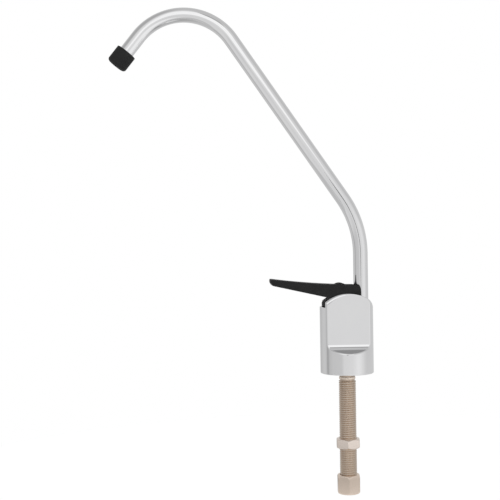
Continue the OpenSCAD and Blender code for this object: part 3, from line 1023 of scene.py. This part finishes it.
def tent_tones(tree, rise, run, stops):
    """Tones by the angle whose sine and cosine go with rise and run."""
    turn = scaled(tree, maths(tree, "ARCTAN2", rise, run), 1 / (2 * math.pi), 0.5)
    return tone_ramp(tree, turn, [(degrees / 360 + 0.5, tone) for degrees, tone in stops])


def light_tent():
    """The world: soft tones by direction for light and reflections, white to the viewer."""
    world = bpy.data.worlds.new("light_tent")
    world.use_nodes = True
    tree = world.node_tree
    tree.nodes.clear()
    x, y, z = coordinates(tree, "Generated")
    front = weighted_sum(tree, ((x, TOWARD.x), (y, TOWARD.y)))
    side = weighted_sum(tree, ((x, ACROSS.x), (y, ACROSS.y)))
    level = tent_tones(tree, side, front, LEVEL_TONES)
    upright = tent_tones(tree, z, front, UPRIGHT_TONES)
    share = smooth_range(tree, maths(tree, "ABSOLUTE", z), *UPRIGHT_RANGE)
    colour = blend(tree, share, level, upright)
    for azimuth, elevation, full, gone, tone in PATCHES:
        a, e = math.radians(azimuth), math.radians(elevation)
        facing = weighted_sum(tree, (
            (front, math.cos(e) * math.cos(a)), (side, math.cos(e) * math.sin(a)), (z, math.sin(e))))
        weight = smooth_range(tree, facing, math.cos(math.radians(gone)), math.cos(math.radians(full)))
        colour = blend(tree, weight, colour, (tone, tone, tone, 1))
    backgrounds = []
    for shade in (colour, WHITE):
        node = tree.nodes.new("ShaderNodeBackground")
        feed(tree, shade, node.inputs["Color"])
        backgrounds.append(node.outputs["Background"])
    out = tree.nodes.new("ShaderNodeOutputWorld")
    surface = mix_shaders(tree, light_path(tree, "Is Camera Ray"), *backgrounds)
    tree.links.new(surface, out.inputs["Surface"])
    scene.world = world


# Floor, low enough for the inlet nut when it is drawn off the shank

FLOOR_Z = -92.6
FLOOR_R = 370
FLOOR_GLOW = 0.56
FLOOR_ROUGHNESS = 0.8
FLOOR_CLOUD = 9.0
FLOOR_CLOUD_DETAIL = 4.0
FLOOR_LOW = (0.78, 0.78, 0.78)
FLOOR_HIGH = (0.82, 0.82, 0.82)

# Places between which the floor's tone in reflections changes
UNDER_EDGE = (104, 47)
UNDER_RISE = (-30, 20)
ROUND_RISE = (116, 278)
RIGHT_RISE = (58, 348)

# Tones there: the lowest, and how much is added
UNDER_TONE, UNDER_GAIN = 0.69, 0.06
ROUND_TONE, ROUND_GAIN = 0.42, 0.12
RIGHT_GAIN = 0.36


def floor_tone(tree):
    """Grey of the floor in reflections: pale under the tap, darker round it, brighter to the right."""
    x, y, _ = coordinates(tree, "Object")
    squares = [maths(tree, "MULTIPLY", value, value) for value in (x, y)]
    radius = maths(tree, "SQRT", maths(tree, "ADD", *squares))
    under = smooth_places(tree, radius, UNDER_EDGE)
    under_tone = scaled(tree, smooth_places(tree, y, UNDER_RISE), UNDER_GAIN, UNDER_TONE)
    round_tone = scaled(tree, smooth_places(tree, radius, ROUND_RISE), ROUND_GAIN, ROUND_TONE)
    right = smooth_places(tree, maths(tree, "ADD", x, y), RIGHT_RISE)
    return blend(tree, under, scaled(tree, right, RIGHT_GAIN, round_tone), under_tone)


def floor():
    """A round pale floor, grey in reflections, and white to the viewer where the tap casts no shadow."""
    obj = make_object("floor", ring(FLOOR_R, FLOOR_Z), [range(ROUND)], smooth=False)
    mat, tree, surface = new_material("floor")
    shader = tree.nodes.new("ShaderNodeBsdfPrincipled")
    shade = cloudy(tree, noise(tree, FLOOR_CLOUD, FLOOR_CLOUD_DETAIL), FLOOR_LOW, FLOOR_HIGH)
    tree.links.new(shade, shader.inputs["Base Color"])
    shader.inputs["Roughness"].default_value = FLOOR_ROUGHNESS
    matt = shader.outputs["BSDF"]
    lit = tree.nodes.new("ShaderNodeAddShader")
    tree.links.new(matt, lit.inputs[0])
    tree.links.new(emission(tree, WHITE, FLOOR_GLOW), lit.inputs[1])
    mirrored = mix_shaders(tree, light_path(tree, "Is Glossy Ray"), matt, emission(tree, floor_tone(tree)))
    seen = mix_shaders(tree, light_path(tree, "Is Camera Ray"), mirrored, lit.outputs["Shader"])
    tree.links.new(seen, surface)
    dress(obj, mat)


# Cards of the tent, which only reflections show


def card(name, place, sides, heights, tones):
    """A card whose edges each fade in from one place to another, and whose tone runs across it."""
    (left, _), (right, _) = sides
    (low, _), (high, _) = heights
    points = [(left, low, 0), (right, low, 0), (right, high, 0), (left, high, 0)]
    obj = make_object(name, points, [range(4)], smooth=False)
    obj.matrix_world = place
    mat, tree, surface = new_material(name)
    x, y, _ = coordinates(tree, "Object")
    stops = [(across * MM + 0.5, tone) for across, tone in tones]
    glow = emission(tree, tone_ramp(tree, maths(tree, "ADD", x, 0.5), stops))
    weight = light_path(tree, "Is Glossy Ray")
    for value, edges in ((x, sides), (y, heights)):
        for fade in edges:
            weight = maths(tree, "MULTIPLY", weight, smooth_places(tree, value, fade))
    clear = tree.nodes.new("ShaderNodeBsdfTransparent")
    tree.links.new(mix_shaders(tree, weight, clear.outputs["BSDF"], glow), surface)
    dress(obj, mat)


def facing_place(distance):
    """Place of an upright card that faces the tap from the viewer's side."""
    axes = Matrix((ACROSS, Vector((0, 0, 1)), TOWARD)).transposed().to_4x4()
    return Matrix.Translation(TOWARD * distance * MM) @ axes


def sloped_place(height, fall):
    """Place of a card that slopes down towards the viewer, from a height on the tap's axis."""
    along = Vector((TOWARD.x, TOWARD.y, -fall)).normalized()
    axes = Matrix((ACROSS, along, ACROSS.cross(along))).transposed().to_4x4()
    return Matrix.Translation((0, 0, height * MM)) @ axes


def level_place(height, degrees):
    """Place of a level card over the tap, turned about its axis."""
    return Matrix.Translation((0, 0, height * MM)) @ Matrix.Rotation(math.radians(degrees), 4, "Z")


light_tent()
floor()
card("light_panel", facing_place(487), ((-300, -100), (350, 210)), ((195, 275), (1100, 560)),
     [(-300, 0.97), (380, 1.0)])
card("dark_opening", sloped_place(232, 0.28), ((8, 20), (78, 66)), ((450, 480), (880, 840)),
     [(8, 0.08), (78, 0.06)])
card("low_panel", facing_place(125), ((-290, -220), (290, 220)), ((-79.5, -78), (-48, -60)),
     [(-200, 0.93), (0, 0.95), (200, 0.90)])
card("overhead_flag", level_place(585, 11), ((20, 28), (480, 390)), ((-95, -70), (95, 70)),
     [(24, 0.56), (220, 0.56), (280, 0.40), (315, 0.31), (352, 0.31), (400, 0.56)])
camera()
scene.view_settings.view_transform = "Standard"
